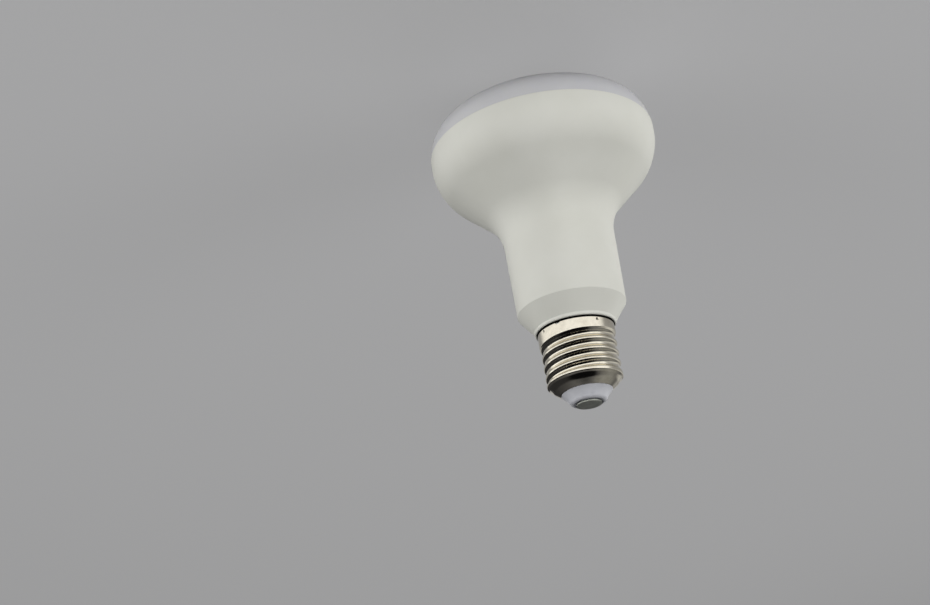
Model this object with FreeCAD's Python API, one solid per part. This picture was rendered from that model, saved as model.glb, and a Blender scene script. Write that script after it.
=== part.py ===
import FreeCAD, Part
import math
import os

# Reflector lamp with light-emitting diodes and a screw cap, in millimetres
# It hangs in its holder with the cap up: Z is the lamp's axis, z = 0 the crown of the domed front

# Outer form of the moulded body
dome_height = 20.0
dome_shoulder = 12.0
rim_radius = 40.3
rim_band = 2.5
shoulder_radius = 19.0
bowl_slope = 46.0
throat_radius = 18.0
neck_top_radius = 19.6
neck_end_radius = 19.0
body_height = 64.2
cone_height = 6.5
lip_ledge = 0.85
lip_height = 1.2
lip_round = 0.5
lip_wall = 0.6
lip_recess = 0.6
rim_break = 0.25
wall = 1.8

# Diffuser
diffuser_wall = 1.5
diffuser_step = 0.3
skirt_wall = 1.4
skirt_root = 4.0
skirt_fit = 0.15
bead_height = 0.35
bead_level = 2.2
bead_stretch = 1.5
bead_fit = 0.1

# Heat sink pressed from sheet, and the light board on it
floor_depth = 6.0
sink_sheet = 1.2
sink_depth = 15.0
sink_fit = 0.2
collar_height = 1.6
collar_wall = 0.8
led_board_margin = 3.95
led_board_thickness = 1.2
led_length = 3.5
led_width = 2.8
led_height = 0.7
led_inner_ring = 13.5
led_edge_margin = 5.5
led_inner_count = 9
led_outer_count = 15
lead_hole_radius = 6.5

# Screws that hold the light board
screw_count = 3
screw_azimuth = 90.0
screw_radius = 1.5
screw_length = 5.0
screw_head_radius = 2.8
screw_head_height = 1.6
screw_recess_width = 0.7
screw_recess_length = 3.2
screw_recess_depth = 0.8
screw_fit = 0.1

# Screw cap with a knuckle thread
thread_pitch = 3.629
thread_radius = 13.15
thread_depth = 0.95
shell_sheet = 0.3
collar_flare = 0.2
collar_length = 2.45
shell_gap = 0.65
thread_length = 16.3
thread_ramp = 1.7
thread_fade = 1.0
crest_level = 2.97
crest_azimuth = 180.0
shoulder_round = 0.6
shell_mouth_radius = 8.86
shell_cone_height = 3.55
cone_rows = 3
columns = 24
rows_per_pitch = 8
spline_degree = 3
spigot_length = 17.9
spigot_wall = 1.85
spigot_step_gap = 0.3
spigot_relief = 0.3
spigot_fit = 0.15

# Punch marks that lock the cap, and the notch in its edge
punch_count = 4
punch_azimuth = 238.0
punch_level = 0.7
punch_radius = 0.5
punch_depth = 0.3
notch_azimuth = 301.5
notch_width = 1.4
notch_depth = 0.5

# Insulator and centre contact
insulator_height = 3.85
insulator_top_radius = 5.5
insulator_shoulder = 0.75
insulator_brim = 0.9
insulator_waist = 1.5
waist_share = 0.52
insulator_base = 2.88
insulator_floor = 0.6
insulator_fit = 0.1
contact_radius = 4.4
contact_height = 0.55
contact_crown = 0.3
contact_flat_radius = 2.8
contact_pin_radius = 1.3
contact_pin_length = 7.2
contact_bore_radius = 0.5
contact_bore_depth = 5.0

# Driver board in its moulded slots
board_thickness = 1.2
board_half_width = 13.0
board_start = 15.0
board_fit = 0.15
tongue_margin = 1.9
tongue_end_gap = 1.5
slot_rib = 1.2
slot_reach = 1.6
slot_start = 36.0

# Leads
lead_radius = 0.4
lead_bend = 1.2
fold_bend = 1.0
lead_fit = 0.1
lead_overlap = 3.0
led_lead_spacing = 2.5
led_lead_reach = 10.0
led_lead_overlap = 1.2
supply_lead_plane = 1.1
groove_fit = 0.2
neutral_pad_margin = 1.7
neutral_tail = 7.0
live_pad_x = 4.5
live_turn_run = 2.0
live_rise = 0.5
live_tip_gap = 1.0

# Parts on the component side of the driver board
part_standoff = 0.2
pin_radius = 0.3
pin_tail = 0.8
pin_root = 1.0
pin_fit = 0.15
can_groove_radius = 0.7
can_groove_offset = 0.3
can_groove_drop = 2.2
bulk_radius = 5.0
bulk_length = 16.0
bulk_pitch = 5.0
bulk_x = 6.0
bulk_z = 25.0
output_radius = 4.0
output_length = 12.0
output_pitch = 3.5
output_x = 7.5
output_z = 3.0
film_size = (5.0, 10.0, 10.0)
film_round = 0.6
film_pitch = 7.5
film_x = -7.5
film_z = 30.0
fuse_radius = 1.6
fuse_length = 8.0
fuse_round = 0.5
fuse_x = -2.5
fuse_drop = 15.8
fuse_overhang = 2.2

# Choke: ferrite core, bobbin and winding
core_length = 13.0
core_thickness = 6.0
core_leg = 2.6
core_back = 2.3
centre_leg = 3.0
bobbin_wall = 0.6
bobbin_flange = 0.7
bobbin_fit = 0.1
winding_build = 1.0
winding_round = 1.0
bobbin_foot = 1.2
choke_x = -5.0
choke_z = 10.0

# Parts on the solder side: width, length and height, leads on each side, place on the board
bridge_size = (4.0, 4.8, 1.5)
bridge_lead_count = 2
bridge_lead_pitch = 2.54
bridge_place = (0.0, 47.0)
driver_chip_size = (3.9, 4.9, 1.5)
driver_chip_lead_count = 4
driver_chip_lead_pitch = 1.27
driver_chip_place = (-4.0, 22.0)
diode_size = (2.6, 4.3, 2.0)
diode_lead_count = 1
diode_lead_pitch = 1.27
diode_place = (5.0, 9.0)
chip_standoff = 0.1
chip_lead_root = 0.2
chip_lead_width = 0.45
chip_lead_thickness = 0.2
chip_lead_reach = 1.1
resistor_size = (1.6, 0.55, 3.2)
resistor_places = ((-6.0, 34.0), (-2.0, 34.0), (2.0, 34.0), (6.0, 30.0))

# Cuts run past the solid by this much
overrun = 1.0

# Widths worked out from the sizes
skirt_radius = rim_radius - wall - skirt_fit
skirt_bore = skirt_radius - skirt_wall
led_board_radius = skirt_bore - led_board_margin
led_outer_ring = led_board_radius - led_edge_margin
screw_circle = (led_inner_ring + led_outer_ring) / 2
collar_radius = thread_radius + collar_flare
lip_radius = collar_radius + lip_ledge
bobbin_tube = centre_leg / 2 + bobbin_fit + bobbin_wall
winding_half = bobbin_tube + winding_build
flange_half = winding_half + bobbin_fit
window_half = flange_half + bobbin_fit
core_width = 2 * (window_half + core_leg)

# Levels worked out from the sizes
z_rim = dome_height
z_floor = z_rim + floor_depth
z_cone = z_rim + body_height
z_lip = z_cone + cone_height
z_seat = z_lip + lip_height
z_shell = z_seat + shell_gap
z_thread = z_shell + collar_length
z_thread_end = z_thread + thread_length
z_spigot = z_seat + spigot_length
z_board = z_rim + board_start

V = FreeCAD.Vector
ORIGIN = V(0, 0, 0)
UP = V(0, 0, 1)


def save(name, shape):
    shape.exportStep("parts/" + name + ".step")
    print(name, len(shape.Solids), round(shape.Volume, 2), shape.isValid())


def point(r, z):
    return V(r, 0, z)


def line(a, b):
    return Part.LineSegment(point(*a), point(*b)).toShape()


def arc(a, b, c):
    return Part.Arc(point(*a), point(*b), point(*c)).toShape()


def lines(points):
    return [line(a, b) for a, b in zip(points, points[1:])]


def crowned(outer, edge, flat, top):
    """arc that rises from an outer edge and runs level into a flat top"""
    width, rise = outer - flat, top - edge
    radius = (width ** 2 + rise ** 2) / (2 * rise)
    half = math.asin(width / radius) / 2
    middle = (flat + radius * math.sin(half), top - radius * (1 - math.cos(half)))
    return arc((outer, edge), middle, (flat, top))


def turned(edges):
    """solid of revolution of a closed outline in the XZ plane"""
    face = Part.Face(Part.Wire(edges))
    return face.revolve(ORIGIN, UP, 360)


def disc(radius, z0, z1, x=0.0, y=0.0):
    return Part.makeCylinder(radius, z1 - z0, V(x, y, z0), UP)


def block(x0, x1, y0, y1, z0, z1):
    return Part.makeBox(x1 - x0, y1 - y0, z1 - z0, V(x0, y0, z0))


def polar(radius, degrees, z=0.0):
    a = math.radians(degrees)
    return V(radius * math.cos(a), radius * math.sin(a), z)


def lead(points, radius, bends):
    """round wire along straight runs joined by tangent arcs"""
    edges = []
    start = points[0]
    for before, corner, after, bend in zip(points, points[1:], points[2:], bends):
        back = (before - corner).normalize()
        ahead = (after - corner).normalize()
        turn = math.pi - back.getAngle(ahead)
        reach = bend * math.tan(turn / 2)
        enter = corner + back * reach
        leave = corner + ahead * reach
        inward = (back + ahead).normalize()
        middle = corner + inward * (bend / math.cos(turn / 2) - bend)
        edges.append(Part.LineSegment(start, enter).toShape())
        edges.append(Part.Arc(enter, middle, leave).toShape())
        start = leave
    edges.append(Part.LineSegment(start, points[-1]).toShape())
    path = Part.Wire(edges)
    ring = Part.Wire(Part.makeCircle(radius, points[0], points[1] - points[0]))
    return path.makePipeShell([ring], True, False)


# Moulded body

def skin(inset):
    """corner and middle points of the bowl and neck, moved inwards by inset"""
    slope = math.radians(bowl_slope)
    cs, sn = math.cos(slope), math.sin(slope)
    ch, sh = math.cos(slope / 2), math.sin(slope / 2)
    near_r = rim_radius - shoulder_radius
    near_z = z_rim + rim_band
    far_r = neck_top_radius + throat_radius
    flank = (near_r + shoulder_radius * cs - far_r + throat_radius * cs) / sn
    far_z = near_z + shoulder_radius * sn + flank * cs + throat_radius * sn
    r1 = shoulder_radius - inset
    r2 = throat_radius + inset
    return (
        (rim_radius - inset, z_rim),
        (rim_radius - inset, near_z),
        (near_r + r1 * ch, near_z + r1 * sh),
        (near_r + r1 * cs, near_z + r1 * sn),
        (far_r - r2 * cs, far_z - r2 * sn),
        (far_r - r2 * ch, far_z - r2 * sh),
        (far_r - r2, far_z),
    )


def skin_edges(inset):
    rim, band, bend, flank, flank_end, throat, neck = skin(inset)
    return [line(rim, band), arc(band, bend, flank), line(flank, flank_end), arc(flank_end, throat, neck)]


def cone_angle():
    return math.atan2(neck_end_radius - lip_radius, cone_height)


def inner_cone_start(inset):
    """where the neck's inner face meets the cone's inner face"""
    return (neck_end_radius - inset, z_cone - inset * math.tan(cone_angle() / 2))


def inner_cone_level(radius, inset):
    """level at which the cone's inner face has this radius"""
    r, z = inner_cone_start(inset)
    return z + (r - radius) / math.tan(cone_angle())


def bowl_space(inset):
    """the room inside the bowl, neck and cone at this inset, as a solid"""
    top = inner_cone_start(inset)
    tip = (0.0, inner_cone_level(0.0, inset))
    rim = skin(inset)[0]
    neck = skin(inset)[-1]
    return turned(skin_edges(inset) + lines([neck, top, tip, (0.0, z_rim), rim]))


def spigot_radius():
    return thread_radius - thread_depth - shell_sheet - spigot_fit


def spigot_base_radius():
    return collar_radius - shell_sheet - spigot_fit


def spigot_bore():
    return spigot_radius() - spigot_wall


def neutral_lead_x():
    """how far out the folded lead runs between spigot and shell"""
    root = thread_radius - thread_depth - shell_sheet
    return math.sqrt(root ** 2 - supply_lead_plane ** 2) - lead_radius - lead_fit


def bead(radius, height, level):
    """corner and middle points of the half-round bead on the diffuser's skirt"""
    half = height * bead_stretch
    return (radius, level - half), (radius + height, level), (radius, level + half)


def make_housing():
    bore = rim_radius - wall
    base = spigot_base_radius()
    spigot = spigot_radius()
    hole = spigot_bore()
    step = z_thread - spigot_step_gap
    relief = base - spigot_relief
    trench = lip_radius - lip_wall
    depth = z_seat - lip_recess
    round_start = z_seat - lip_round
    ledge = lip_radius - lip_round
    soft = lip_round * (1 - math.sqrt(0.5))
    outside = lines([(rim_radius - rim_break, z_rim), (rim_radius, z_rim + rim_break), skin(0)[1]])
    outside += skin_edges(0)[1:]
    outside += lines([skin(0)[-1], (neck_end_radius, z_cone), (lip_radius, z_lip), (lip_radius, round_start)])
    outside.append(arc((lip_radius, round_start), (lip_radius - soft, z_seat - soft), (ledge, z_seat)))
    outside += lines([(ledge, z_seat), (trench, z_seat), (trench, depth), (relief, depth)])
    outside += lines([(relief, depth), (relief, z_shell), (base, z_shell), (base, step)])
    outside += lines([(base, step), (spigot, step + base - spigot)])
    outside += lines([(spigot, step + base - spigot), (spigot, z_spigot), (hole, z_spigot)])
    floor = inner_cone_level(hole, wall)
    inside = lines([(hole, z_spigot), (hole, floor), inner_cone_start(wall), skin(wall)[-1]])
    curve = skin_edges(wall)[1:]
    curve.reverse()
    inside += curve
    inside += lines([skin(wall)[1], (bore, z_rim), (rim_radius - rim_break, z_rim)])
    body = turned(outside + inside)
    rebate = disc(bore, z_rim, z_floor)
    body = body.cut(rebate)
    low, crest, high = bead(bore - bead_fit, bead_height + 2 * bead_fit, z_rim + bead_level)
    groove = turned([arc(low, crest, high), line(high, low)])
    body = body.cut(groove)
    body = body.fuse(slot_ribs())
    body = body.cut(lead_groove())
    for centre in punch_centres():
        body = body.cut(Part.makeSphere(punch_radius + shell_sheet + spigot_fit, centre))
    return body.removeSplitter()


def slot_ribs():
    """two pairs of ribs down the neck that hold the board's edges"""
    reach = board_half_width - slot_reach
    near = board_thickness / 2 + board_fit
    ribs = []
    for side in (-1, 1):
        for face in (-1, 1):
            x0, x1 = sorted((side * reach, side * rim_radius))
            y0, y1 = sorted((face * near, face * (near + slot_rib)))
            ribs.append(block(x0, x1, y0, y1, z_rim + slot_start, z_cone))
    room = bowl_space(wall / 2)
    return ribs[0].multiFuse(ribs[1:]).common(room)


def lead_groove():
    """groove along the spigot for the folded lead"""
    half = lead_radius + groove_fit
    floor = neutral_lead_x() - half
    y0, y1 = supply_lead_plane - half, supply_lead_plane + half
    return block(floor, collar_radius, y0, y1, z_spigot - neutral_tail - half, z_spigot + half)


# Diffuser

def dome_points(inset):
    """end, middle, joint, middle and crown of the dome's shoulder and crown arcs"""
    edge = rim_radius - diffuser_step
    across = edge - dome_shoulder
    crown = (across ** 2 - dome_shoulder ** 2 + dome_height ** 2) / (2 * (dome_height - dome_shoulder))
    turn = math.atan2(across, crown - dome_height)
    r1 = dome_shoulder - inset
    r2 = crown - inset

    def shoulder(a):
        return (across + r1 * math.sin(a), z_rim - r1 * math.cos(a))

    def front(a):
        return (r2 * math.sin(a), crown - r2 * math.cos(a))

    level = math.pi / 2
    return shoulder(level), shoulder((level + turn) / 2), front(turn), front(turn / 2), (0.0, inset)


def make_diffuser():
    skirt_end = z_floor - sink_fit
    root = z_rim - skirt_root
    edge, bend, joint, bow, crown = dome_points(0)
    edge_in, bend_in, joint_in, bow_in, crown_in = dome_points(diffuser_wall)
    low, crest, high = bead(skirt_radius, bead_height, z_rim + bead_level)
    shell = [arc(edge, bend, joint), arc(joint, bow, crown), line(crown, crown_in)]
    shell += [arc(crown_in, bow_in, joint_in), arc(joint_in, bend_in, edge_in), line(edge_in, edge)]
    ring = lines([(skirt_bore, root), (skirt_radius, root), low])
    ring.append(arc(low, crest, high))
    ring += lines([high, (skirt_radius, skirt_end), (skirt_bore, skirt_end), (skirt_bore, root)])
    return turned(shell).fuse(turned(ring)).removeSplitter()


# Heat sink, light board and its screws

def screw_places():
    return [polar(screw_circle, screw_azimuth + 360 * i / screw_count) for i in range(screw_count)]


def make_heat_sink():
    outer = bowl_space(wall + sink_fit)
    inner = bowl_space(wall + sink_fit + sink_sheet)
    band = disc(rim_radius, z_floor, z_floor + sink_depth)
    hollow = disc(rim_radius, z_floor + sink_sheet, z_floor + sink_depth + overrun)
    cup = outer.common(band).cut(inner.common(hollow))
    top = z_floor + sink_sheet + collar_height
    for p in screw_places():
        cup = cup.fuse(disc(screw_radius + collar_wall, z_floor, top, p.x, p.y))
    for p in screw_places():
        cup = cup.cut(disc(screw_radius + screw_fit / 2, z_floor - overrun, top + overrun, p.x, p.y))
    cup = cup.cut(disc(lead_hole_radius, z_floor - overrun, top + overrun))
    return cup.removeSplitter()


def make_led_board():
    low = z_floor - led_board_thickness
    board = disc(led_board_radius, low, z_floor)
    for p in screw_places():
        board = board.cut(disc(screw_radius + screw_fit, low - overrun, z_floor + overrun, p.x, p.y))
    return board.cut(disc(lead_hole_radius, low - overrun, z_floor + overrun))


def make_led_packages():
    top = z_floor - led_board_thickness
    packages = []
    for count, radius in ((led_inner_count, led_inner_ring), (led_outer_count, led_outer_ring)):
        for i in range(count):
            turn = screw_azimuth + 360 * (i + 0.5) / count
            one = block(-led_length / 2, led_length / 2, -led_width / 2, led_width / 2, top - led_height, top)
            one.translate(V(radius, 0, 0))
            one.rotate(ORIGIN, UP, turn)
            packages.append(one)
    return Part.Compound(packages)


def make_board_screws():
    seat = z_floor - led_board_thickness
    half = screw_recess_width / 2
    reach = screw_recess_length / 2
    low = seat - screw_head_height
    screws = []
    for p in screw_places():
        screw = disc(screw_head_radius, low, seat, p.x, p.y)
        screw = screw.fuse(disc(screw_radius, low, low + screw_head_height + screw_length, p.x, p.y))
        for dx, dy in ((half, reach), (reach, half)):
            slot = block(p.x - dx, p.x + dx, p.y - dy, p.y + dy, low - overrun, low + screw_recess_depth)
            screw = screw.cut(slot)
        screws.append(screw)
    return Part.Compound(screws)


# Screw cap

def ease(t):
    t = min(1.0, max(0.0, t))
    return t * t * (3 - 2 * t)


def wave(turns):
    """drop below the crest of two equal arcs, turns counted in pitches from a crest"""
    half = thread_pitch / 2
    radius = (half ** 2 + thread_depth ** 2) / (4 * thread_depth)
    s = abs(turns - round(turns)) * thread_pitch
    if s < half / 2:
        return radius - math.sqrt(radius ** 2 - s ** 2)
    return thread_depth - radius + math.sqrt(radius ** 2 - (half - s) ** 2)


def shell_cone_angle():
    """slope from the axis of the cone between thread and mouth"""
    return math.atan2(thread_radius - shell_mouth_radius, shell_cone_height)


def shell_mouth():
    return z_thread_end + shell_cone_height


def skin_drop(turn, z):
    """how far the rolled skin's net lies inside its plain tube, at a share of a turn and a level"""
    rise = ease((z - z_thread) / thread_ramp)
    share = rise * ease((z_thread_end - shoulder_round - z) / thread_fade)
    phase = (z - z_shell - crest_level) / thread_pitch - turn + crest_azimuth / 360
    spread = (2 + math.cos(2 * math.pi / rows_per_pitch)) / 3
    drop = thread_depth / 2 + (wave(phase) - thread_depth / 2) / spread
    return (collar_radius - thread_radius) * rise + share * drop


def shell_rows(inset):
    """radius and level of the net's rows from the collar's edge to the mouth"""
    slope = shell_cone_angle()
    low, high = z_shell, z_thread_end - shoulder_round
    count = round((high - low) / thread_pitch * rows_per_pitch)
    rows = [(collar_radius - inset, low + (high - low) * k / count) for k in range(count + 1)]
    corner = thread_radius - inset
    turn_level = z_thread_end - inset * math.tan(slope / 2)
    rows.append((corner, turn_level))
    mouth = shell_mouth_radius - inset * math.cos(slope)
    mouth_level = shell_mouth() - inset * math.sin(slope)
    for k in range(cone_rows):
        share = (k + 1) / cone_rows
        rows.append((corner + (mouth - corner) * share, turn_level + (mouth_level - turn_level) * share))
    return rows


def rolled_skin(inset):
    """one smooth closed face: collar, thread, shoulder and cone"""
    rows = shell_rows(inset)
    round_off = (2 + math.cos(2 * math.pi / columns)) / 3
    net = []
    for i in range(columns):
        turn = i / columns
        column = []
        for r, z in rows:
            drop = skin_drop(turn, z) if z < z_thread_end - shoulder_round / 2 else 0.0
            column.append(polar((r - drop) / round_off, 360 * turn, z))
        net.append(column)
    spans = len(rows) - spline_degree
    surface = Part.BSplineSurface()
    around = list(range(columns + 1))
    along = list(range(spans + 1))
    degree = spline_degree
    once = [1] * len(around)
    ends = [degree + 1] + [1] * (spans - 1) + [degree + 1]
    surface.buildFromPolesMultsKnots(net, once, ends, around, along, True, False, degree, degree)
    return surface


def shell_solid():
    outer = rolled_skin(0.0)
    inner = rolled_skin(shell_sheet)
    faces = [outer.toShape(), inner.toShape()]
    for level in (0, 1):
        rings = [s.vIso(s.bounds()[2 + level]).toShape() for s in (outer, inner)]
        faces.append(Part.makeRuledSurface(*rings))
    sewn = Part.makeShell(faces)
    sewn.sewShape()
    solid = Part.Solid(sewn)
    if solid.Volume < 0:
        solid.reverse()
    return solid


def punch_centres():
    out = collar_radius + punch_radius - punch_depth
    level = z_shell + punch_level
    return [polar(out, punch_azimuth + 360 * i / punch_count, level) for i in range(punch_count)]


def make_screw_shell():
    shell = shell_solid()
    room = disc(collar_radius - shell_sheet / 2, z_shell, z_thread)
    for centre in punch_centres():
        bump = Part.makeSphere(punch_radius + shell_sheet, centre).common(room)
        shell = shell.fuse(bump)
    for centre in punch_centres():
        shell = shell.cut(Part.makeSphere(punch_radius, centre))
    x0, x1 = collar_radius - overrun, collar_radius + overrun
    half = notch_width / 2
    notch = block(x0, x1, -half, half, z_shell - overrun, z_shell + notch_depth)
    notch.rotate(ORIGIN, UP, notch_azimuth)
    return shell.cut(notch)


# Insulator and centre contact

def contact_seat():
    return shell_mouth() + insulator_height


def make_cap_insulator():
    slope = shell_cone_angle()
    mouth = shell_mouth()
    gap = shell_sheet + insulator_fit
    seat = contact_seat()
    throat = (shell_mouth_radius - gap * math.cos(slope), mouth - gap * math.sin(slope))
    flare = (throat[0] + insulator_base * math.sin(slope), throat[1] - insulator_base * math.cos(slope))
    floor = flare[1] - insulator_floor
    rise = seat - insulator_shoulder - mouth
    shoulder = (insulator_top_radius + insulator_brim, mouth + rise)
    waist = (shell_mouth_radius - insulator_waist, mouth + rise * waist_share)
    bore = contact_pin_radius + insulator_fit / 2
    brim = (shell_mouth_radius, mouth + insulator_fit)
    end = (throat[0], mouth + insulator_fit)
    outline = lines([(bore, floor), (flare[0], floor), flare, throat, end, brim])
    outline.append(arc(brim, waist, shoulder))
    outline.append(crowned(shoulder[0], shoulder[1], insulator_top_radius, seat))
    outline += lines([(insulator_top_radius, seat), (bore, seat), (bore, floor)])
    return turned(outline)


def make_centre_contact():
    seat = contact_seat()
    edge = seat + contact_height
    top = edge + contact_crown
    end = seat - contact_pin_length
    bottom = end + contact_bore_depth
    outline = lines([(0, bottom), (contact_bore_radius, bottom), (contact_bore_radius, end)])
    outline += lines([(contact_bore_radius, end), (contact_pin_radius, end), (contact_pin_radius, seat)])
    outline += lines([(contact_pin_radius, seat), (contact_radius, seat), (contact_radius, edge)])
    outline.append(crowned(contact_radius, edge, contact_flat_radius, top))
    outline += lines([(contact_flat_radius, top), (0, top), (0, bottom)])
    return turned(outline)


# Driver board

def board_top():
    """level of the board's shoulders, which stop against the inside of the cone"""
    corner = math.hypot(board_half_width, board_thickness / 2)
    return inner_cone_level(corner, wall) - board_fit


def tongue_half_width():
    return spigot_bore() - tongue_margin


def board_end():
    return z_spigot - tongue_end_gap


def board_face():
    return board_thickness / 2


def electrolytic_pins(pitch, length, x, z):
    level = z_board + z + length + lead_bend
    return [(x - pitch / 2, level), (x + pitch / 2, level)]


def film_pins():
    middle = z_board + film_z + film_size[2] / 2
    return [(film_x, middle - film_pitch / 2), (film_x, middle + film_pitch / 2)]


def fuse_level():
    return board_end() - fuse_drop


def fuse_pins():
    low = fuse_level()
    return [(fuse_x, low - fuse_overhang), (fuse_x, low + fuse_length + fuse_overhang)]


def choke_pins():
    level = z_board + choke_z
    pins = []
    for x in (choke_x - core_width / 4, choke_x + core_width / 4):
        pins.append((x, level - core_length / 2 - bobbin_foot / 2))
        pins.append((x, level + core_length / 2 + bobbin_foot / 2))
    return pins


def board_holes():
    holes = electrolytic_pins(bulk_pitch, bulk_length, bulk_x, bulk_z)
    holes += electrolytic_pins(output_pitch, output_length, output_x, output_z)
    return holes + film_pins() + fuse_pins() + choke_pins()


def cross_pin(x, z, start, radius):
    """straight pin through the board along Y"""
    end = -board_face() - pin_tail
    return Part.makeCylinder(radius, start - end, V(x, end, z), V(0, 1, 0))


def make_driver_board():
    face = board_face()
    board = block(-board_half_width, board_half_width, -face, face, z_board, board_top())
    reach = tongue_half_width()
    tongue = block(-reach, reach, -face, face, z_board, board_end())
    board = board.fuse(tongue).removeSplitter()
    for x, z in board_holes():
        board = board.cut(cross_pin(x, z, face + overrun, pin_radius + pin_fit))
    return board


def electrolytic(radius, length, pitch, x, z):
    y = board_face() + part_standoff + radius
    low = z_board + z
    top = low + length
    can = Part.makeCylinder(radius, length, V(x, y, low), UP)
    neck = Part.makeTorus(radius + can_groove_offset, can_groove_radius, V(x, y, top - can_groove_drop), UP)
    can = can.cut(neck)
    for px, level in electrolytic_pins(pitch, length, x, z):
        route = [V(px, y, top - pin_root), V(px, y, level), V(px, -board_face() - pin_tail, level)]
        can = can.fuse(lead(route, pin_radius, [lead_bend - pin_radius]))
    return can


def make_filter_capacitor():
    width, height, length = film_size
    low = board_face() + part_standoff
    middle = z_board + film_z + length / 2
    x0, x1 = film_x - width / 2, film_x + width / 2
    z0, z1 = middle - length / 2, middle + length / 2
    body = block(x0, x1, low, low + height, z0, z1)
    corners = [e for e in body.Edges if abs(e.tangentAt(e.FirstParameter).y) > 0.9]
    body = body.makeFillet(film_round, corners)
    for x, z in film_pins():
        body = body.fuse(cross_pin(x, z, low + pin_root, pin_radius))
    return body


def make_fusible_resistor():
    y = board_face() + part_standoff + fuse_radius
    low = fuse_level()
    body = Part.makeCylinder(fuse_radius, fuse_length, V(fuse_x, y, low), UP)
    body = body.makeFillet(fuse_round, [e for e in body.Edges if e.Curve.TypeId == "Part::GeomCircle"])
    tail = -board_face() - pin_tail
    (x, first), (x, last) = fuse_pins()
    for level, inner in ((first, low + pin_root), (last, low + fuse_length - pin_root)):
        route = [V(x, y, inner), V(x, y, level), V(x, tail, level)]
        body = body.fuse(lead(route, pin_radius, [lead_bend - pin_radius]))
    return body


def choke_centre():
    rise = max(core_thickness / 2 + bobbin_foot, flange_half)
    return V(choke_x, board_face() + part_standoff + rise, z_board + choke_z)


def window_reach():
    """half length of the room round the centre leg"""
    return core_length / 2 - core_back


def make_inductor_core():
    half_l = window_reach()
    t = core_thickness / 2
    body = block(-core_width / 2, core_width / 2, -t, t, -core_length / 2, core_length / 2)
    for side in (-1, 1):
        x0, x1 = sorted((side * centre_leg / 2, side * window_half))
        body = body.cut(block(x0, x1, -t - overrun, t + overrun, -half_l, half_l))
    trim = (core_thickness - centre_leg) / 2
    for side in (-1, 1):
        y0, y1 = sorted((side * (t - trim), side * (t + overrun)))
        body = body.cut(block(-centre_leg / 2, centre_leg / 2, y0, y1, -half_l, half_l))
    body.translate(choke_centre())
    return body


def tube_block(hole, outer, z0, z1):
    """square tube along the leg, between two levels"""
    room = block(-hole, hole, -hole, hole, z0 - overrun, z1 + overrun)
    return block(-outer, outer, -outer, outer, z0, z1).cut(room)


def make_inductor_bobbin():
    c = choke_centre()
    end = window_reach() - bobbin_fit
    window = end - bobbin_flange
    hole = centre_leg / 2 + bobbin_fit
    foot_top = -core_thickness / 2 - bobbin_fit
    foot_low = -core_thickness / 2 - bobbin_foot
    reach = core_length / 2 + bobbin_foot
    foot = block(-core_width / 2, core_width / 2, foot_low, foot_top, -reach, reach)
    clear = window_half
    foot = foot.cut(block(-clear, clear, foot_low - overrun, foot_top + overrun, -window, window))
    body = tube_block(hole, bobbin_tube, -end, end).fuse(foot)
    for side in (-1, 1):
        z0, z1 = sorted((side * window, side * end))
        body = body.fuse(tube_block(hole, flange_half, z0, z1))
        body = body.fuse(block(-flange_half, flange_half, foot_low, -bobbin_tube, z0, z1))
    body.translate(c)
    for x, z in choke_pins():
        body = body.fuse(cross_pin(x, z, c.y + (foot_low + foot_top) / 2, pin_radius))
    return body.removeSplitter()


def make_inductor_winding():
    half = winding_half
    room = window_reach() - bobbin_flange - 2 * bobbin_fit
    body = block(-half, half, -half, half, -room, room)
    corners = [e for e in body.Edges if abs(e.tangentAt(e.FirstParameter).z) > 0.9]
    body = body.makeFillet(winding_round, corners)
    body = body.cut(block(-bobbin_tube, bobbin_tube, -bobbin_tube, bobbin_tube, -room, room))
    body.translate(choke_centre())
    return body


def surface_part(size, leads, pitch, place):
    """flat-backed part on the solder side with leads along its two long sides"""
    width, length, height = size
    x, z = place
    face = -board_face()
    mid = face - height / 2
    z += z_board
    low = face - height
    rest = face - chip_standoff
    body = block(x - width / 2, x + width / 2, low, rest, z - length / 2, z + length / 2)
    for side in (-1, 1):
        for i in range(leads):
            level = z + (i - (leads - 1) / 2) * pitch
            z0, z1 = level - chip_lead_width / 2, level + chip_lead_width / 2
            inner = side * (width / 2 - chip_lead_root)
            knee = side * (width / 2 + chip_lead_reach / 2)
            outer = side * (width / 2 + chip_lead_reach)
            t = chip_lead_thickness
            back = knee - side * t
            arm = (inner, knee, mid - t / 2, mid + t / 2)
            drop = (back, knee, mid, face)
            foot = (back, outer, face - t, face)
            for xa, xb, ya, yb in (arm, drop, foot):
                x0, x1 = sorted((x + xa, x + xb))
                body = body.fuse(block(x0, x1, ya, yb, z0, z1))
    return body.removeSplitter()


def make_chip_resistors():
    width, height, length = resistor_size
    face = -board_face()
    made = []
    for x, z in resistor_places:
        z += z_board
        made.append(block(x - width / 2, x + width / 2, face - height, face, z - length / 2, z + length / 2))
    return Part.Compound(made)


# Leads

def make_led_lead(side):
    """from the driver board, through the middle hole, to a pad on the light board"""
    y = board_face() + lead_radius
    x = side * led_lead_spacing
    pad = z_floor - led_board_thickness - lead_radius
    route = [V(x, y, z_board + led_lead_overlap), V(x, y, pad), V(side * led_lead_reach, y, pad)]
    return lead(route, lead_radius, [led_lead_spacing])


def make_neutral_lead():
    """from the board's tongue, folded over the spigot's end into its groove"""
    y = supply_lead_plane
    top = z_spigot + lead_radius + lead_fit
    out = neutral_lead_x()
    pad = tongue_half_width() - neutral_pad_margin
    route = [
        V(pad, y, board_end() - lead_overlap),
        V(pad, y, top),
        V(out, y, top),
        V(out, y, z_spigot - neutral_tail),
    ]
    return lead(route, lead_radius, [fold_bend, fold_bend])


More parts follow.
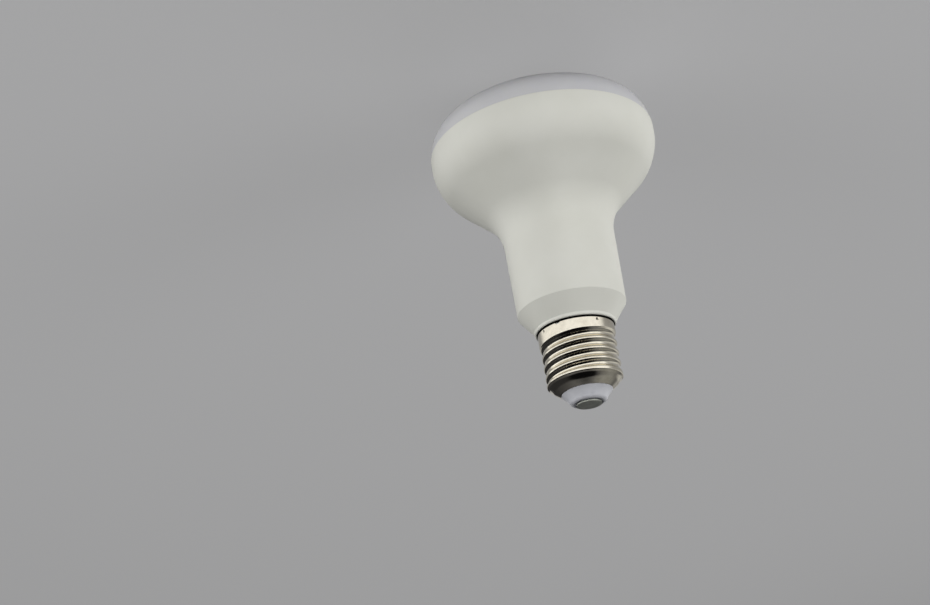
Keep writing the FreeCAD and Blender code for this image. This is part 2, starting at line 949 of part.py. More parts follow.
def make_live_lead():
    """from the board's tongue into the bore of the centre contact"""
    y = supply_lead_plane
    end = contact_seat() - contact_pin_length
    low = board_end()
    route = [
        V(-live_pad_x, y, low - lead_overlap),
        V(-live_pad_x, y, low + live_rise),
        V(0, 0, end - live_turn_run),
        V(0, 0, end + contact_bore_depth - live_tip_gap),
    ]
    return lead(route, lead_radius, [lead_bend, lead_bend])


def main():
    os.makedirs("parts", exist_ok=True)
    save("diffuser", make_diffuser())
    save("housing", make_housing())
    save("heat_sink", make_heat_sink())
    save("led_board", make_led_board())
    save("led_packages", make_led_packages())
    save("board_screws", make_board_screws())
    save("led_lead_positive", make_led_lead(1))
    save("led_lead_negative", make_led_lead(-1))
    save("driver_board", make_driver_board())
    save("bulk_capacitor", electrolytic(bulk_radius, bulk_length, bulk_pitch, bulk_x, bulk_z))
    save("output_capacitor", electrolytic(output_radius, output_length, output_pitch, output_x, output_z))
    save("filter_capacitor", make_filter_capacitor())
    save("fusible_resistor", make_fusible_resistor())
    save("inductor_core", make_inductor_core())
    save("inductor_bobbin", make_inductor_bobbin())
    save("inductor_winding", make_inductor_winding())
    bridge = surface_part(bridge_size, bridge_lead_count, bridge_lead_pitch, bridge_place)
    chip = surface_part(driver_chip_size, driver_chip_lead_count, driver_chip_lead_pitch, driver_chip_place)
    diode = surface_part(diode_size, diode_lead_count, diode_lead_pitch, diode_place)
    save("bridge_rectifier", bridge)
    save("driver_chip", chip)
    save("freewheel_diode", diode)
    save("chip_resistors", make_chip_resistors())
    save("neutral_lead", make_neutral_lead())
    save("live_lead", make_live_lead())
    save("screw_shell", make_screw_shell())
    save("cap_insulator", make_cap_insulator())
    save("centre_contact", make_centre_contact())


main()
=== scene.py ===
import math
import bpy
from mathutils import Matrix, Vector


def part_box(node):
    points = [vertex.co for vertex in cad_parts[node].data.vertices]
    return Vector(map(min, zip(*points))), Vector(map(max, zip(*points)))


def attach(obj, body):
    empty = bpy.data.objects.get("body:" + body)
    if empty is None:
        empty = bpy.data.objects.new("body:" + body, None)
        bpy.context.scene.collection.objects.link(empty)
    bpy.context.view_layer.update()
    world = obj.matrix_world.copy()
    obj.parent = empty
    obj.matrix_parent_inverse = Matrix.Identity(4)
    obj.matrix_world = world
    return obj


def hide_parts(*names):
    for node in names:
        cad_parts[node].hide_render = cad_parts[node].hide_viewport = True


# Reflector lamp with a frosted domed front, a moulded white body and a nickel-plated screw cap
# Sizes are in millimetres and are turned to metres where a mesh is made

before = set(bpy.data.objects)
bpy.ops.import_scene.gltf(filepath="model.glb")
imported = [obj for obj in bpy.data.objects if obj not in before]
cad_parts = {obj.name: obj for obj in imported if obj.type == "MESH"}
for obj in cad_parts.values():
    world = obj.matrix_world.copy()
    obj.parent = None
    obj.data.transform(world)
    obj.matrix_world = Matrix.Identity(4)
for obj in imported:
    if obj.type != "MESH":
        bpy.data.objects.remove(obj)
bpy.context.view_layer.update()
MM = 0.001

# The five pieces that show, read from the frame


def level(node, end):
    """lowest (0) or highest (1) level of a node, in millimetres"""
    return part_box(node)[end].z / MM


def reach(node):
    """half width of a node, in millimetres"""
    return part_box(node)[1].x / MM


z_rim = level("housing", 0)
z_spigot = level("housing", 1)
z_shell = level("screw_shell", 0)
z_mouth = level("screw_shell", 1)
z_contact = level("cap_insulator", 1)
z_top = level("centre_contact", 1)
rim_radius = reach("housing")
dome_edge = reach("diffuser")
collar_radius = reach("screw_shell")
contact_radius = reach("centre_contact")

# Moulded body
rim_band = 2.5
shoulder_radius = 19.0
bowl_slope = math.radians(46)
throat_radius = 18.0
neck_top_radius = 19.6
neck_end_radius = 19.0
z_cone = z_rim + 64.2
z_lip = z_cone + 6.5
lip_radius = 14.2
lip_round = 0.5
z_seat = z_lip + 1.2
rim_break = 0.25
wall = 1.8
edge_round = 0.3
joint_slack = 0.01

# Spigot inside the cap
spigot_radius = 11.75
spigot_base = 12.9
spigot_relief = 12.6
lip_wall = 0.6
lip_recess = 0.6
spigot_bore = 9.9
z_step = 94.7
rib_reach = 11.4
rib_near = 0.75
rib_wall = 1.2
z_rib = 56.0

# Diffuser
dome_shoulder = 12.0
diffuser_wall = 1.5
skirt_radius = 38.35
skirt_wall = 1.4
skirt_root = 4.0
z_skirt = 25.8
bead_height = 0.35
bead_level = 2.2
bead_half = 0.525

# Screw cap, with azimuths as shares of a turn from +X towards +Y
thread_pitch = 3.629
thread_radius = 13.15
thread_depth = 1.0
crest_share = 0.44
shell_sheet = 0.3
z_thread_end = z_shell + 18.75
thread_start = 0.17
sink_turn = 0.2
thread_fade = 1.0
crest_level = 2.97
root_blend = 0.16
shoulder_run = 0.6
shoulder_round = 0.5
mouth_radius = 8.86
punch_turns = (0.6611, 0.9111, 0.1611, 0.4111)
punch_level = 0.7
punch_radius = 0.5
punch_depth = 0.3
punch_bed = 0.5
punch_slope = 0.6
# share of a punch mark's radius whose faces get painted shade
painted_shade_share = 0.62
notch_turn = 0.8292
notch_width = 1.4
notch_depth = 0.6
notch_blend = 0.2

# Bends of the cap's arched end cone: radius, height over the thread's end and rounding
cone_bends = ((12.35, 0.5, 2.0), (11.19, 1.88, 4.0))

# Insulator
insulator_throat = 8.54
insulator_base = 6.7
insulator_floor = 112.5
insulator_bore = 1.35
waist_radius = 7.36
waist_level = 116.46
shoulder_level = 117.95
insulator_brim = 6.4
insulator_top = 4.95
brim_bulge = (0.09, 0.17)
mouth_lap = 0.1
moat_radius = 4.1
moat_depth = 0.35

# Contact
contact_edge = 0.55
contact_round = 0.12
contact_flat = 2.8
pin_radius = 1.3
pin_length = 7.2
pin_bore = 0.5
pin_bore_depth = 5.0

# Mesh fineness: columns round the axis, rows up the cap's sheet and steps along the dome's two arcs
body_columns = 256
shell_columns = 288
insulator_columns = 160
contact_columns = 128
outer_rows = 150
inner_rows = 60
shoulder_steps = 24
crown_steps = 32

# Points nearer to the axis than this are one point
on_axis = 1e-6


# Shaping helpers

def bow(a, b, c, steps):
    """points of the circular arc from a through b to c"""
    ax, ay = a[0] - c[0], a[1] - c[1]
    bx, by = b[0] - c[0], b[1] - c[1]
    cross = 2 * (ax * by - ay * bx)
    aa, bb = ax * ax + ay * ay, bx * bx + by * by
    middle = Vector((c[0] + (by * aa - ay * bb) / cross, c[1] + (ax * bb - bx * aa) / cross))
    first = Vector(a) - middle
    half = first.angle_signed(Vector(b) - middle)
    rest = (Vector(b) - middle).angle_signed(Vector(c) - middle)
    out = []
    for k in range(steps + 1):
        spin = Matrix.Rotation(-(half + rest) * k / steps, 2)
        out.append(tuple(middle + spin @ first))
    return out


def rounded(corners, step=4.0):
    """points along straight runs whose corners are (radius, level, rounding); the ends stay sharp"""
    out = [corners[0][:2]]
    for before, corner, after in zip(corners, corners[1:], corners[2:]):
        here = Vector(corner[:2])
        bend = corner[2]
        if not bend:
            out.append(corner[:2])
            continue
        back = (Vector(before[:2]) - here).normalized()
        ahead = (Vector(after[:2]) - here).normalized()
        turn = math.pi - back.angle(ahead)
        run = bend * math.tan(turn / 2)
        inward = bend / math.cos(turn / 2) - bend
        middle = here + (back + ahead).normalized() * inward
        count = max(3, math.ceil(math.degrees(turn) / step))
        out += bow(tuple(here + back * run), tuple(middle), tuple(here + ahead * run), count)
    out.append(corners[-1][:2])
    return out


def add_piece(name, verts, faces, sharp=30.0):
    """mesh object from points in millimetres, shaded smooth up to a crease angle in degrees"""
    mesh = bpy.data.meshes.new(name)
    mesh.from_pydata([(x * MM, y * MM, z * MM) for x, y, z in verts], [], faces)
    mesh.validate()
    mesh.polygons.foreach_set("use_smooth", [True] * len(mesh.polygons))
    mesh.set_sharp_from_angle(angle=math.radians(sharp))
    piece = bpy.data.objects.new(name, mesh)
    bpy.context.scene.collection.objects.link(piece)
    return piece


def lathe(outline, columns):
    """points and faces of the closed outline turned round the Z axis"""
    verts = []
    rings = []
    for r, z in outline:
        if r < on_axis:
            rings.append([len(verts)] * columns)
            verts.append((0.0, 0.0, z))
            continue
        rings.append(list(range(len(verts), len(verts) + columns)))
        for i in range(columns):
            a = 2 * math.pi * i / columns
            verts.append((r * math.cos(a), r * math.sin(a), z))
    faces = []
    for low, high in zip(rings, rings[1:] + rings[:1]):
        for i in range(columns):
            j = (i + 1) % columns
            face = list(dict.fromkeys((low[i], low[j], high[j], high[i])))
            if len(face) > 2:
                faces.append(face)
    return verts, faces


def stand_for(piece, node):
    """the piece takes a solid's place and moves with the lamp"""
    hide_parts(node)
    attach(piece, "root")
    return piece


# Material helpers

def colour(code):
    """linear colour of an sRGB hex value"""
    values = [int(code[i:i + 2], 16) / 255 for i in (1, 3, 5)]
    linear = [v / 12.92 if v <= 0.04045 else ((v + 0.055) / 1.055) ** 2.4 for v in values]
    return (*linear, 1.0)


def material(name):
    """empty material with a shader that is joined to its output"""
    made = bpy.data.materials.new(name)
    made.use_nodes = True
    return made, made.node_tree.nodes["Principled BSDF"]


def node(made, kind, settings=None, **links):
    """adds a node; settings are its properties and links its inputs, a value or another node's output"""
    item = made.node_tree.nodes.new(kind)
    for key, value in (settings or {}).items():
        setattr(item, key, value)
    for key, value in links.items():
        socket = item.inputs[int(key[1:])] if key[0] == "i" and key[1:].isdigit() else item.inputs[key]
        if isinstance(value, bpy.types.NodeSocket):
            made.node_tree.links.new(value, socket)
        else:
            socket.default_value = value
    return item


def join(made, output, socket):
    """links a node's output to an input"""
    made.node_tree.links.new(output, socket)


def reckon(made, operation, a, b):
    """sum or product of two values"""
    return node(made, "ShaderNodeMath", {"operation": operation}, i0=a, i1=b).outputs[0]


def along(made, place, way):
    """how far a place lies along a direction"""
    item = node(made, "ShaderNodeVectorMath", {"operation": "DOT_PRODUCT"}, i0=place, i1=way)
    return item.outputs["Value"]


def ranged(made, value, span):
    """value turned from the span's first range (from, to) to its second (low, high), held at both ends"""
    start, end, low, high = span
    return node(made, "ShaderNodeMapRange", i0=value, i1=start, i2=end, i3=low, i4=high).outputs[0]


def blend(made, share, under, over):
    """colour between two, all the second where the share is 1"""
    return node(made, "ShaderNodeMix", {"data_type": "RGBA"}, i0=share, i6=under, i7=over).outputs[2]


def ramp(made, factor, stops):
    """colour ramp with (place, hex) stops"""
    item = node(made, "ShaderNodeValToRGB", Fac=factor)
    band = item.color_ramp
    while len(band.elements) < len(stops):
        band.elements.new(1.0)
    for element, (place, code) in zip(band.elements, stops):
        element.position = place
        element.color = colour(code)
    return item.outputs["Color"]


def speckle(made, size):
    """noise whose blobs are about this many millimetres wide, the same in every view"""
    place = node(made, "ShaderNodeNewGeometry").outputs["Position"]
    item = node(made, "ShaderNodeTexNoise", Vector=place, Scale=1 / (size * MM), Detail=3.0)
    return item.outputs["Fac"]


def grain(made, shader, size, depth):
    """bump with blobs of one size and a depth in millimetres"""
    height = speckle(made, size)
    item = node(made, "ShaderNodeBump", Height=height, Distance=depth * MM, Strength=1.0)
    join(made, item.outputs["Normal"], shader.inputs["Normal"])


def finish(name, tones, blob, grain_size, grain_depth, spread=0.3, **sockets):
    """material that drifts between two tones in soft blobs, with a fine grain
    spread is how far from 0 and 1 of the noise the tones are reached; sockets are named with _ for a space
    """
    made, shader = material(name)
    dark, light = tones
    tone = ramp(made, speckle(made, blob), ((spread, dark), (1 - spread, light)))
    join(made, tone, shader.inputs["Base Color"])
    for socket, value in sockets.items():
        shader.inputs[socket.replace("_", " ")].default_value = value
    grain(made, shader, grain_size, grain_depth)
    return made


# Camera, floor and light

camera_place = (36.07, -543.59, 305.10)
camera_pitch = math.radians(22.93)
camera_roll = math.radians(171.02)
photo_width = 930
photo_focal = 1700
sensor_width = 36.0

# Floor: its tone, what it adds to the view, and the glow that metal sees in it, with a painted shadow near
# the lamp, painted light farther out and painted shade behind
# A span is a range in metres, or along a direction, and the values at its two ends
floor_half = 6000.0
floor_tone = "#8c8c8e"
floor_lift = 0.28
painted_shadow_span = (0.07, 0.2, 0.08, 0.98)
painted_glow_span = (0.27, 0.6, 0.0, 0.6)
painted_light_way = (0.35, -0.94, 0.0)
painted_light_span = (-0.1, -0.02, 0.25, 1.0)

# Room: the fill light, the backdrop behind low views, and what metal sees
fill_tone = "#3c3c3f"
backdrop_tone = "#949496"
pale_way = (-0.6, 0.3, 0.74)
pale_span = (0.2, 1.0, 0.0, 1.0)
pale_stops = ((0.0, "#303032"), (0.48, "#646466"), (0.8, "#5c5c5e"), (1.0, "#8e8e8c"))
dark_way = (0.10, -0.72, 0.69)
dark_span = (0.66, 0.8, 0.0, 1.0)
dark_tone = "#0c0c0d"
low_span = (0.16, 0.36, 1.0, 0.0)
right_span = (-0.75, -0.2, 1.0, 0.0)
horizon_tone = "#d6d6d4"

# Lamps: name, place, aim, width and height in millimetres, and power in watts
lamps = (
    ("right", (-970, -370, 130), (0, 0, 50), (800, 220), 2.7),
    ("left", (800, -660, 130), (0, 0, 50), (800, 220), 2.45),
    ("back", (-450, 1300, 700), (0, 0, 70), (1400, 800), 1.5),
)
lamp_spread = math.radians(90)


def add_camera():
    """camera at the photo's viewing angle, from a fit to the lamp's circles"""
    data = bpy.data.cameras.new("camera")
    data.sensor_width = sensor_width
    data.lens = photo_focal / photo_width * sensor_width
    camera = bpy.data.objects.new("camera", data)
    turn = Matrix.Rotation(math.pi / 2 - camera_pitch, 4, "X") @ Matrix.Rotation(camera_roll, 4, "Z")
    camera.matrix_world = Matrix.Translation(Vector(camera_place) * MM) @ turn
    bpy.context.scene.collection.objects.link(camera)
    bpy.context.scene.camera = camera


def add_floor():
    """plain pale paper under the lamp, wide enough to fill every view"""
    corners = ((-1, -1), (1, -1), (1, 1), (-1, 1))
    verts = [(x * floor_half, y * floor_half, 0) for x, y in corners]
    floor = add_piece("floor", verts, [(0, 1, 2, 3)])
    floor.data.materials.append(pale_paper())


def pale_paper():
    """seamless studio paper, dead matt: plain grey to the view; to metal a glow with a painted shadow round
    the lamp
    """
    made, shader = material("seamless_paper")
    shader.inputs["Base Color"].default_value = colour(floor_tone)
    shader.inputs["Roughness"].default_value = 1.0
    shader.inputs["Specular IOR Level"].default_value = 0.0
    shader.inputs["Emission Color"].default_value = colour("#ffffff")
    ray = node(made, "ShaderNodeLightPath").outputs
    place = node(made, "ShaderNodeNewGeometry").outputs["Position"]
    away = node(made, "ShaderNodeVectorMath", {"operation": "LENGTH"}, i0=place).outputs["Value"]
    # painted shadow round the lamp, painted light farther out and painted shade behind it, seen only by metal
    pale = reckon(made, "ADD", ranged(made, away, painted_shadow_span), ranged(made, away, painted_glow_span))
    lit = reckon(made, "MULTIPLY", pale, ranged(made, along(made, place, painted_light_way), painted_light_span))
    mirrored = reckon(made, "MULTIPLY", ray["Is Glossy Ray"], lit)
    seen = reckon(made, "MULTIPLY", ray["Is Camera Ray"], floor_lift)
    join(made, reckon(made, "ADD", seen, mirrored), shader.inputs["Emission Strength"])
    return made


def add_lamp(name, place, target, size, power):
    """soft flat lamp that neither the view nor metal shows"""
    data = bpy.data.lights.new(name, "AREA")
    data.shape = "RECTANGLE"
    data.size, data.size_y = size[0] * MM, size[1] * MM
    data.energy = power
    data.spread = lamp_spread
    lamp = bpy.data.objects.new(name, data)
    way = Vector(target) - Vector(place)
    turn = way.to_track_quat("-Z", "Y").to_matrix().to_4x4()
    lamp.matrix_world = Matrix.Translation(Vector(place) * MM) @ turn
    lamp.visible_glossy = False
    lamp.visible_camera = False
    bpy.context.scene.collection.objects.link(lamp)


def add_world():
    """plain fill light; the view sees a backdrop like the floor, and metal sees a dim room, palest above on
    the right, black high in front and bright low down on the right"""
    world = bpy.data.worlds.new("room")
    world.use_nodes = True
    way = node(world, "ShaderNodeTexCoord").outputs["Generated"]
    room = ramp(world, ranged(world, along(world, way, pale_way), pale_span), pale_stops)
    dark = ranged(world, along(world, way, dark_way), dark_span)
    room = blend(world, dark, room, colour(dark_tone))
    apart = node(world, "ShaderNodeSeparateXYZ", i0=way).outputs
    low = ranged(world, apart["Z"], low_span)
    right = ranged(world, apart["X"], right_span)
    room = blend(world, reckon(world, "MULTIPLY", low, right), room, colour(horizon_tone))
    ray = node(world, "ShaderNodeLightPath").outputs
    plain = blend(world, ray["Is Camera Ray"], colour(fill_tone), colour(backdrop_tone))
    tone = blend(world, ray["Is Glossy Ray"], plain, room)
    join(world, tone, world.node_tree.nodes["Background"].inputs["Color"])
    bpy.context.scene.world = world


# Moulded body

def housing_outline():
    """closed outline of the hollow body: outside from rim to spigot, then back down inside"""
    turn = math.tan(bowl_slope / 2)
    band = z_rim + rim_band
    flank = (rim_radius - neck_top_radius) / math.tan(bowl_slope)
    bend_in, throat_in = shoulder_radius - wall, throat_radius + wall
    shoulder = band + shoulder_radius * turn
    shoulder_in = band + bend_in * turn
    cone = math.atan2(neck_end_radius - lip_radius, z_lip - z_cone)
    cone_in = z_cone - wall * math.tan(cone / 2)
    floor = cone_in + (neck_end_radius - wall - spigot_bore) / math.tan(cone)
    outside = [
        (rim_radius - wall, z_rim, 0),
        (rim_radius, z_rim, rim_break),
        (rim_radius, shoulder, shoulder_radius),
        (neck_top_radius, shoulder + flank, throat_radius),
        (neck_end_radius, z_cone, edge_round),
        (lip_radius, z_lip, edge_round),
        (lip_radius, z_seat, lip_round),
        (lip_radius - lip_wall, z_seat, 0),
        (lip_radius - lip_wall, z_seat - lip_recess, 0),
        (spigot_relief, z_seat - lip_recess, 0),
        (spigot_relief, z_shell, 0),
        (spigot_base, z_shell, 0),
        (spigot_base, z_step, edge_round),
        (spigot_radius, z_step + spigot_base - spigot_radius, edge_round),
        (spigot_radius, z_spigot, edge_round),
        (spigot_bore, z_spigot, 0),
    ]
    inside = [
        (spigot_bore, z_spigot, 0),
        (spigot_bore, floor, 0),
        (neck_end_radius - wall, cone_in, 0),
        (neck_top_radius - wall, shoulder_in + flank, throat_in),
        (rim_radius - wall, shoulder_in, bend_in),
        (rim_radius - wall, z_rim, 0),
    ]
    return rounded(outside, step=2.0) + rounded(inside)[1:-1]


def rib_blocks():
    """the four ribs down the neck that hold the driver board's edges"""
    verts = []
    faces = []
    box = ((0, 1, 3, 2), (4, 6, 7, 5), (0, 4, 5, 1), (2, 3, 7, 6), (0, 2, 6, 4), (1, 5, 7, 3))
    outer = neck_end_radius - wall / 2
    for side in (-1, 1):
        for face in (-1, 1):
            start = len(verts)
            for z in (z_rib, z_cone):
                for y in (face * rib_near, face * (rib_near + rib_wall)):
                    for x in (side * rib_reach, side * outer):
                        verts.append((x, y, z))
            for quad in box:
                order = quad if side * face > 0 else quad[::-1]
                faces.append([start + k for k in order])
    return verts, faces


def make_housing():
    """the moulded body; the walls of the recess under the cap's edge get a dark painted shade"""
    verts, faces = lathe(housing_outline(), body_columns)
    rib_verts, rib_faces = rib_blocks()
    start = len(verts)
    faces += [[start + k for k in face] for face in rib_faces]
    piece = add_piece("moulded_body", verts + rib_verts, faces)
    piece.data.materials.append(white_polyester())
    # second material: a dark painted shade for the recess under the cap's edge
    piece.data.materials.append(painted_recess_shade())
    # faces inside that recess take the painted shade
    joint_low = z_seat - lip_recess - joint_slack
    joint_high = z_shell + joint_slack
    joint_reach = lip_radius - lip_wall + joint_slack
    for face in piece.data.polygons:
        across, up = face.center.xy.length / MM, face.center.z / MM
        if across < joint_reach and joint_low < up < joint_high:
            face.material_index = 1
    return stand_for(piece, "housing")


def white_polyester():
    """injection-moulded PBT, spark-eroded mould: a matt white skin, faintly warm, that hides its grain"""
    return finish(
        "moulded_white_pbt", ("#d3d3ca", "#dadad2"), blob=22.0, grain_size=0.35, grain_depth=0.012,
        Roughness=0.52, IOR=1.55,
    )


def painted_recess_shade():
    """painted shade: a dark, dull, rough colour for the recess under the cap's edge and the punch marks'
    dents
    """
    return finish(
        "dark_painted_recess_shade", ("#0d0c0b", "#1b1917"), blob=0.8, grain_size=0.4, grain_depth=0.05,
        spread=0.35, Roughness=0.95, Specular_IOR_Level=0.2,
    )


# Frosted front

def dome_half(inset):
    """points from the dome's edge over its shoulder to the crown, moved in from the outside"""
    across = dome_edge - dome_shoulder
    crown = (across ** 2 - dome_shoulder ** 2 + z_rim ** 2) / (2 * (z_rim - dome_shoulder))
    turn = math.atan2(across, crown - z_rim)
    small, large = dome_shoulder - inset, crown - inset
    out = []
    for k in range(shoulder_steps + 1):
        a = math.pi / 2 + (turn - math.pi / 2) * k / shoulder_steps
        out.append((across + small * math.sin(a), z_rim - small * math.cos(a)))
    for k in range(1, crown_steps + 1):
        a = turn * (1 - k / crown_steps)
        out.append((large * math.sin(a), crown - large * math.cos(a)))
    return out


def make_diffuser():
    """the hollow dome with its skirt and snap bead inside the body's rim"""
    root = z_rim - skirt_root
    bead = z_rim + bead_level
    inner = skirt_radius - skirt_wall
    bead_top = (skirt_radius, bead + bead_half)
    bead_peak = (skirt_radius + bead_height, bead)
    bead_foot = (skirt_radius, bead - bead_half)
    outside = dome_half(inset=0.0)
    inside = [p for p in reversed(dome_half(inset=diffuser_wall)) if p[1] < root]
    skirt = [(inner, root), (inner, z_skirt), (skirt_radius, z_skirt), bead_top]
    bump = bow(bead_top, bead_peak, bead_foot, steps=8)
    outline = outside + inside + skirt + bump[1:] + [(skirt_radius, z_rim)]
    verts, faces = lathe(outline, body_columns)
    piece = add_piece("frosted_front", verts, [face[::-1] for face in faces])
    piece.data.materials.append(frosted_polycarbonate())
    return stand_for(piece, "diffuser")


def frosted_polycarbonate():
    """injection-moulded opal polycarbonate: light sinks in and comes back grey-violet, with a dull sheen"""
    return finish(
        "moulded_opal_polycarbonate", ("#c2c2c5", "#cacacc"), blob=30.0, grain_size=0.4, grain_depth=0.01,
        Roughness=0.42, IOR=1.585,
        Subsurface_Weight=0.35, Subsurface_Radius=(0.004, 0.004, 0.005), Subsurface_Scale=1.0,
    )


# Screw cap

def ease(t):
    """0 up to t = 0, 1 from t = 1 on, and a soft S between"""
    t = min(1.0, max(0.0, t))
    return t * t * (3 - 2 * t)


def wave(turns):
    """drop below the crest of a crest arc and a wider groove arc, turns counted in pitches from a crest"""
    half = thread_pitch / 2
    both = (half ** 2 + thread_depth ** 2) / (2 * thread_depth)
    crest, groove = both * crest_share, both * (1 - crest_share)
    s = abs(turns - round(turns)) * thread_pitch
    if s < half * crest_share:
        return crest - math.sqrt(crest ** 2 - s ** 2)
    return thread_depth - groove + math.sqrt(groove ** 2 - (half - s) ** 2)


def turn_gap(a, b):
    """signed distance between two azimuths, in turns"""
    return (a - b + 0.5) % 1.0 - 0.5


def skin_radius(turn, z):
    """outer radius of the rolled sheet below its shoulder; the groove sinks in over its first part turn"""
    # rise goes from 0 in the plain collar to 1 past the groove's start, and share fades at the upper end
    spin = (turn - thread_start) % 1.0
    phase = (z - z_shell - crest_level) / thread_pitch - spin - thread_start + 0.5
    first = 1 - ease(spin / sink_turn)
    rise = ease((phase - first) / root_blend + 0.5)
    share = rise * ease((z_thread_end - shoulder_run - z) / thread_fade)
    r = collar_radius - (collar_radius - thread_radius) * rise - share * wave(phase)
    mouth = math.sqrt(punch_radius ** 2 - (punch_radius - punch_depth) ** 2)
    for punch in punch_turns:
        side = turn_gap(turn, punch) * 2 * math.pi * collar_radius
        away = math.hypot(side, z - z_shell - punch_level)
        r -= punch_depth * (1 - ease((away / mouth - punch_bed) / punch_slope))
    return r


def shell_column(turn, inset, count):
    """points up the shell at one azimuth: collar and thread in rows, then shoulder and cone"""
    side = abs(turn_gap(turn, notch_turn)) * 2 * math.pi * collar_radius
    start = z_shell + notch_depth * (1 - ease((side - notch_width / 2) / notch_blend + 0.5))
    end = z_thread_end - shoulder_run
    out = []
    for k in range(count + 1):
        z = start + (end - start) * k / count
        out.append((skin_radius(turn, z) - inset, z))
    slope = math.atan2(thread_radius - mouth_radius, z_mouth - z_thread_end)
    across, up = inset * math.cos(slope), inset * math.sin(slope)
    bend = z_thread_end - inset * math.tan(slope / 2)
    top = [(thread_radius - inset, end, 0), (thread_radius - inset, bend, shoulder_round)]
    for radius, height, rounding in cone_bends:
        top.append((radius - across, z_thread_end + height - up, rounding))
    top.append((mouth_radius - across, z_mouth - up, 0))
    return out + rounded(top, step=5.0)[1:]


def make_shell():
    """the rolled cap: one sheet with an outer and an inner skin; its punch marks' beds get a dark painted
    shade
    """
    verts = []
    faces = []
    for i in range(shell_columns):
        turn = i / shell_columns
        outer = shell_column(turn, 0.0, outer_rows)
        inner = shell_column(turn, shell_sheet, inner_rows)
        ring = outer + inner[::-1]
        a = 2 * math.pi * turn
        verts += [(r * math.cos(a), r * math.sin(a), z) for r, z in ring]
    count = len(verts) // shell_columns
    for i in range(shell_columns):
        j = (i + 1) % shell_columns
        for k in range(count):
            n = (k + 1) % count
            faces.append((i * count + k, j * count + k, j * count + n, i * count + n))
    piece = add_piece("rolled_shell", verts, faces, sharp=40.0)
    piece.data.materials.append(nickel_plate())
    # second material: a dark painted shade in the punch marks' dents
    piece.data.materials.append(painted_recess_shade())
    for punch in punch_turns:
        a = 2 * math.pi * punch
        r = collar_radius - punch_depth
        centre = Vector((r * math.cos(a), r * math.sin(a), z_shell + punch_level))
        for face in piece.data.polygons:
            near = (face.center / MM - centre).length < painted_shade_share * punch_radius
            if near and face.normal.dot(centre.xy.to_3d()) > 0:
                face.material_index = 1
    return stand_for(piece, "screw_shell")


def nickel_plate():
    """bright nickel plate on rolled sheet: a warm silver mirror, rippled by the rolls, a little cloudy"""
    made, shader = material("rolled_nickel_plated_steel")
    cloud = speckle(made, size=3.0)
    tone = ramp(made, cloud, ((0.35, "#dad3c2"), (0.65, "#e6e0d0")))
    join(made, tone, shader.inputs["Base Color"])
    shader.inputs["Metallic"].default_value = 1.0
    join(made, ranged(made, cloud, (0.35, 0.65, 0.2, 0.12)), shader.inputs["Roughness"])
    grain(made, shader, size=1.6, depth=0.02)
    return made


# Insulator and contact

def make_insulator():
    """the white cone in the cap's mouth, with a rounded brim and a narrow moat round the contact"""
    brim = (mouth_radius, z_mouth + mouth_lap)
    waist = (waist_radius, waist_level)
    shoulder = (insulator_brim, shoulder_level)
    top = (insulator_top, z_contact)
    bulge_radius = (insulator_brim + insulator_top) / 2 + brim_bulge[0]
    bulge_level = (shoulder_level + z_contact) / 2 + brim_bulge[1]
    outline = [(insulator_bore, insulator_floor), (insulator_base, insulator_floor)]
    outline += [(insulator_throat, z_mouth - mouth_lap), (insulator_throat, z_mouth + mouth_lap)]
    outline += bow(brim, waist, shoulder, steps=14)
    outline += bow(shoulder, (bulge_radius, bulge_level), top, steps=10)[1:]
    outline += [(insulator_top, z_contact - moat_depth), (moat_radius, z_contact - moat_depth)]
    outline += [(moat_radius, z_contact), (insulator_bore, z_contact)]
    verts, faces = lathe(outline, insulator_columns)
    piece = add_piece("white_insulator", verts, faces)
    piece.data.materials.append(white_insulator())
    return stand_for(piece, "cap_insulator")


def white_insulator():
    """moulded white insulating plastic: cool, smooth and a little glossy"""
    return finish(
        "moulded_insulator", ("#c3c4c9", "#cbccd0"), blob=4.0, grain_size=0.5, grain_depth=0.01,
        Roughness=0.33, IOR=1.5,
    )


def make_contact():
    """the round contact with a flat top, and its hollow pin"""
    edge = z_contact + contact_edge
    end = z_contact - pin_length
    rise = z_top - edge
    width = contact_radius - contact_flat
    radius = (width ** 2 + rise ** 2) / (2 * rise)
    half = math.asin(width / radius) / 2
    middle = (contact_flat + radius * math.sin(half), z_top - radius * (1 - math.cos(half)))
    under = [
        (pin_radius, z_contact, 0),
        (contact_radius, z_contact, contact_round),
        (contact_radius, edge, 0),
    ]
    outline = [(0, end + pin_bore_depth), (pin_bore, end + pin_bore_depth)]
    outline += [(pin_bore, end), (pin_radius, end)]
    outline += rounded(under)[:-1]
    outline += bow((contact_radius, edge), middle, (contact_flat, z_top), steps=8)
    outline.append((0, z_top))
    verts, faces = lathe(outline, contact_columns)
    piece = add_piece("tinned_contact", verts, faces)
    piece.data.materials.append(tinned_brass())
    return stand_for(piece, "centre_contact")


def tinned_brass():
    """pressed brass with dull tin: grey with a green cast, scuffed by the holder's spring"""
    return finish(
        "pressed_tinned_brass", ("#c4c7bd", "#d8dbd0"), blob=1.8, grain_size=0.8, grain_depth=0.02,
        Metallic=1.0, Roughness=0.48,
    )


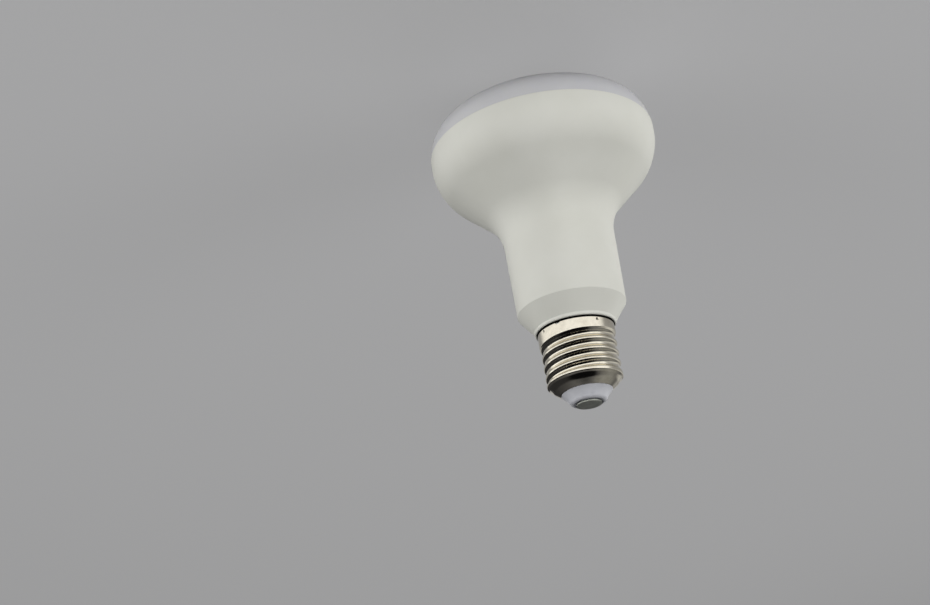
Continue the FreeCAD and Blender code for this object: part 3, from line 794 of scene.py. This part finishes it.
# Inner pieces keep their solids and get a finish each
# Name of the finish, its two tones, roughness, metal, and the size of its blobs in millimetres
inner_finishes = {
    "heat_sink": ("pressed_aluminium", "#b9bbbd", "#c6c8ca", 0.38, 1.0, 3.0),
    "led_board": ("white_solder_mask", "#e4e4e0", "#ececea", 0.35, 0.0, 5.0),
    "led_packages": ("yellow_phosphor_resin", "#e6cf62", "#efdc80", 0.3, 0.0, 1.0),
    "board_screws": ("zinc_plated_steel", "#a9abad", "#c0c2c4", 0.3, 1.0, 0.8),
    "led_lead_positive": ("red_pvc_insulation", "#9c1c18", "#b3251f", 0.45, 0.0, 1.0),
    "led_lead_negative": ("black_pvc_insulation", "#1d1d1e", "#2a2a2b", 0.45, 0.0, 1.0),
    "driver_board": ("green_glass_laminate", "#1f5a32", "#2a6b3e", 0.32, 0.0, 1.5),
    "bulk_capacitor": ("shrunk_dark_sleeve", "#1c1d2a", "#262838", 0.28, 0.0, 2.0),
    "output_capacitor": ("shrunk_dark_sleeve", "#1c1d2a", "#262838", 0.28, 0.0, 2.0),
    "filter_capacitor": ("dipped_red_resin", "#7a2418", "#8c2e20", 0.3, 0.0, 2.0),
    "fusible_resistor": ("baked_green_enamel", "#5f8a66", "#6c9974", 0.5, 0.0, 0.7),
    "inductor_core": ("ground_ferrite", "#2c2c2e", "#3a3a3c", 0.55, 0.0, 0.6),
    "inductor_bobbin": ("moulded_phenolic", "#17171a", "#222226", 0.45, 0.0, 1.0),
    "inductor_winding": ("enamelled_copper_wire", "#a8602e", "#bf7238", 0.3, 1.0, 0.5),
    "bridge_rectifier": ("moulded_epoxy", "#1a1a1b", "#252527", 0.5, 0.0, 0.6),
    "driver_chip": ("moulded_epoxy", "#1a1a1b", "#252527", 0.5, 0.0, 0.6),
    "freewheel_diode": ("moulded_epoxy", "#1a1a1b", "#252527", 0.5, 0.0, 0.6),
    "chip_resistors": ("glazed_ceramic", "#222224", "#303033", 0.25, 0.0, 0.4),
    "neutral_lead": ("tinned_copper_wire", "#b4b5b3", "#c4c5c3", 0.3, 1.0, 0.4),
    "live_lead": ("tinned_copper_wire", "#b4b5b3", "#c4c5c3", 0.3, 1.0, 0.4),
}


def dress_inner_pieces():
    """gives the solids inside their finishes; pieces of one material share it"""
    made_already = {}
    for piece, (name, dark, light, rough, metal, size) in inner_finishes.items():
        if name not in made_already:
            made_already[name] = finish(
                name, (dark, light), blob=size, grain_size=size / 2, grain_depth=0.01,
                spread=0.35, Roughness=rough, Metallic=metal,
            )
        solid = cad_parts[piece]
        solid.data.materials.clear()
        solid.data.materials.append(made_already[name])


add_camera()
add_floor()
add_world()
for lamp in lamps:
    add_lamp(*lamp)
make_housing()
make_diffuser()
make_shell()
make_insulator()
make_contact()
dress_inner_pieces()

bpy.context.scene.view_settings.view_transform = "Standard"
